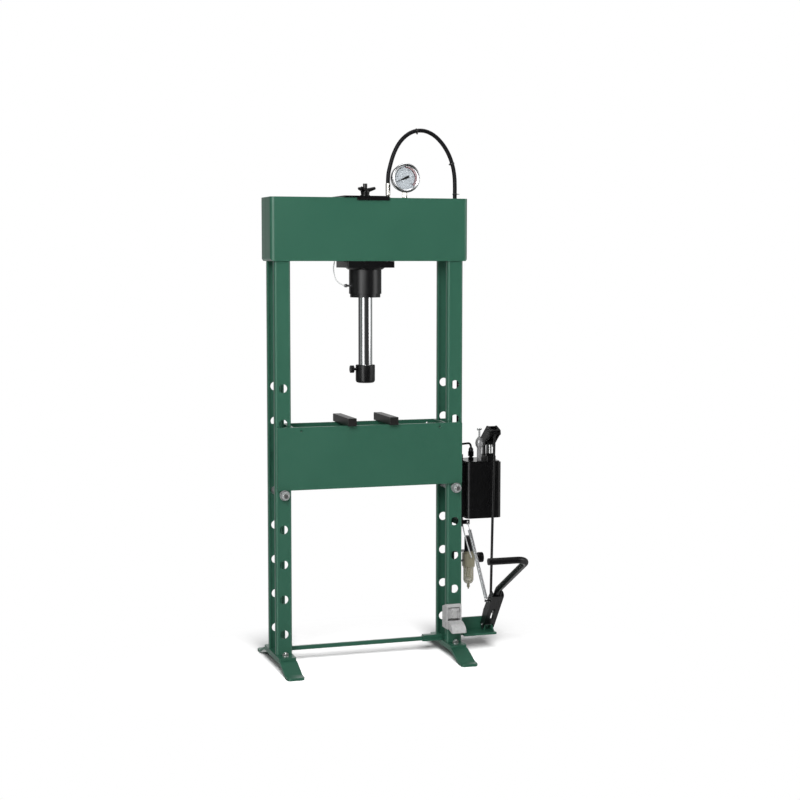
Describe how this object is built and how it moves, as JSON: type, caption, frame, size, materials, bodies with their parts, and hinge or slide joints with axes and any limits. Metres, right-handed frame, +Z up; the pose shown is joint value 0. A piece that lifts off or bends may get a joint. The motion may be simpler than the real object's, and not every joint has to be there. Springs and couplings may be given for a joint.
{
  "type": "shop press",
  "caption": "Floor-standing H-frame workshop press with height-adjustable bed, sideways-sliding hydraulic ram, pressure gauge and foot-operated pump with air service unit.",
  "frame": {"origin": "on the floor at the bottom centre of the whole machine's box; the ram axis is 72 mm to the left of it and 104 mm behind it", "axes": "+Z up, -Y towards the operator, +X to the operator's right, where the pump hangs"},
  "size_m": [0.894, 0.6984, 1.9785],
  "materials": {
    "green_paint": "semi-gloss powder coat",
    "black_paint": "semi-gloss",
    "black_steel": "blackened, satin",
    "black_oxide": "black oxide, matt",
    "steel": "bright, ground",
    "zinc": "zinc plated",
    "chrome": "hard chrome, polished",
    "cast_aluminium": "die cast, matt",
    "brass": "dull nickel brass",
    "amber_bowl": "smoky polycarbonate",
    "clear_glass": "clear",
    "clear_tube": "translucent",
    "dial_white": "matt",
    "black_plastic": "satin",
    "grey_hose": "matt",
    "black_rubber": "satin"
  },
  "bodies": {
    "frame": {"column_left_front": "green_paint", "column_left_back": "green_paint", "column_right_front": "green_paint", "column_right_back": "green_paint", "beam_front": "green_paint", "beam_back": "green_paint", "beam_ribs": "green_paint", "foot_left": "green_paint", "foot_right": "green_paint", "base_plates": "green_paint", "foot_bolts": "zinc", "tie_bar": "green_paint", "pedal_bracket": "green_paint", "pivot_pins": "steel", "tank_bracket": "black_paint", "tank": "black_paint", "tank_lid": "black_paint", "pump_block": "black_paint", "outlet_fitting": "black_steel", "pressure_pipe": "black_steel", "hose_coupling": "zinc", "release_body": "cast_aluminium", "filter_bracket": "black_paint", "filter_body": "brass", "filter_bowl": "amber_bowl", "air_coupling": "black_plastic", "air_tube": "clear_tube", "foot_valve_body": "cast_aluminium", "air_hose": "grey_hose", "return_spring": "chrome"},
    "bed": {"bed_front": "green_paint", "bed_back": "green_paint", "bed_cross_plates": "green_paint", "press_bars": "black_oxide"},
    "bed_pin_l": {"bed_pin_left": "steel"},
    "bed_pin_r": {"bed_pin_right": "steel"},
    "carriage": {"carriage_plate": "black_paint", "carriage_cap": "black_paint", "barrel": "black_paint", "gland_ring": "black_steel", "manifold": "black_steel", "hose_ferrule": "chrome", "hose": "black_rubber", "gauge_case": "chrome", "gauge_dial": "dial_white", "gauge_glass": "clear_glass", "bleed_tube": "clear_tube"},
    "needle": {"gauge_needle": "black_plastic"},
    "clamp": {"clamp_knob": "black_plastic"},
    "ram": {"ram_rod": "chrome", "ram_head": "black_paint"},
    "thumb": {"thumb_screw": "black_plastic"},
    "pedal": {"pedal_lever": "black_paint"},
    "head": {"lever_head": "black_paint"},
    "rod": {"pull_rod": "black_steel"},
    "piston": {"pump_piston": "steel"},
    "release": {"release_handle": "chrome"},
    "regulator": {"regulator_knob": "black_plastic"},
    "drain": {"drain_cock": "black_plastic"},
    "treadle": {"foot_valve_treadle": "cast_aluminium"}
  },
  "joints": [
    {"name": "carriage_slide", "type": "slide", "parent": "frame", "child": "carriage", "axis": [1, 0, 0], "range_m": [-0.134, 0.134], "deforming": ["hose"]},
    {"name": "ram_stroke", "type": "slide", "parent": "carriage", "child": "ram", "axis": [0, 0, 1], "range_m": [-0.01, 0.235]},
    {"name": "clamp_turn", "type": "hinge", "parent": "carriage", "child": "clamp", "pos_m": [-0.072, 0.10425, 1.7317], "axis": [0, 0, 1], "range_deg": [0, 360]},
    {"name": "thumb_turn", "type": "hinge", "parent": "ram", "child": "thumb", "pos_m": [-0.122, 0.10425, 1.0917], "axis": [-1, 0, 0], "range_deg": [0, 360]},
    {"name": "needle_turn", "type": "hinge", "parent": "carriage", "child": "needle", "pos_m": [0.076, 0.08925, 1.795], "axis": [0, -1, 0], "range_deg": [-240, 0], "stiffness_Nm_per_rad": 0.002},
    {"name": "bed_lift", "type": "slide", "parent": "frame", "child": "bed", "axis": [0, 0, 1], "range_m": [0, 0.387]},
    {"name": "pin_left_pull", "type": "slide", "parent": "frame", "child": "bed_pin_l", "axis": [0, -1, 0], "range_m": [0, 0.165]},
    {"name": "pin_right_pull", "type": "slide", "parent": "frame", "child": "bed_pin_r", "axis": [0, -1, 0], "range_m": [0, 0.165]},
    {"name": "pedal_push", "type": "hinge", "parent": "frame", "child": "pedal", "pos_m": [0.404, 0.07025, 0.104], "axis": [1, 0, 0], "range_deg": [0, 25], "stiffness_Nm_per_rad": 15, "springref_deg": -40.11, "deforming": ["return_spring"]},
    {"name": "head_rock", "type": "hinge", "parent": "frame", "child": "head", "pos_m": [0.404, 0.09425, 0.803], "axis": [1, 0, 0], "range_deg": [0, 12.3]},
    {"name": "rod_swing", "type": "hinge", "parent": "head", "child": "rod", "pos_m": [0.404, 0.00525, 0.846], "axis": [1, 0, 0], "range_deg": [-13.7, 0]},
    {"name": "piston_stroke", "type": "slide", "parent": "frame", "child": "piston", "axis": [0, 0, 1], "range_m": [-0.0096, 0]},
    {"name": "release_turn", "type": "hinge", "parent": "frame", "child": "release", "pos_m": [0.365, 0.06225, 0.83], "axis": [0, 0, 1], "range_deg": [0, 180]},
    {"name": "regulator_turn", "type": "hinge", "parent": "frame", "child": "regulator", "pos_m": [0.35, 0.13425, 0.401], "axis": [0, 0, 1], "range_deg": [-360, 360]},
    {"name": "drain_turn", "type": "hinge", "parent": "frame", "child": "drain", "pos_m": [0.35, 0.13425, 0.241], "axis": [0, 0, 1], "range_deg": [0, 90]},
    {"name": "treadle_press", "type": "hinge", "parent": "frame", "child": "treadle", "pos_m": [0.239, 0.01025, 0.135], "axis": [1, 0, 0], "range_deg": [0, 5], "stiffness_Nm_per_rad": 3, "springref_deg": -8.59}
  ],
  "couplings": [
    {"joint": "head_rock", "follows": "pedal_push", "ratio": 0.48864},
    {"joint": "rod_swing", "follows": "pedal_push", "ratio": -0.54533},
    {"joint": "piston_stroke", "follows": "pedal_push", "m_per_rad": -0.021597}
  ]
}
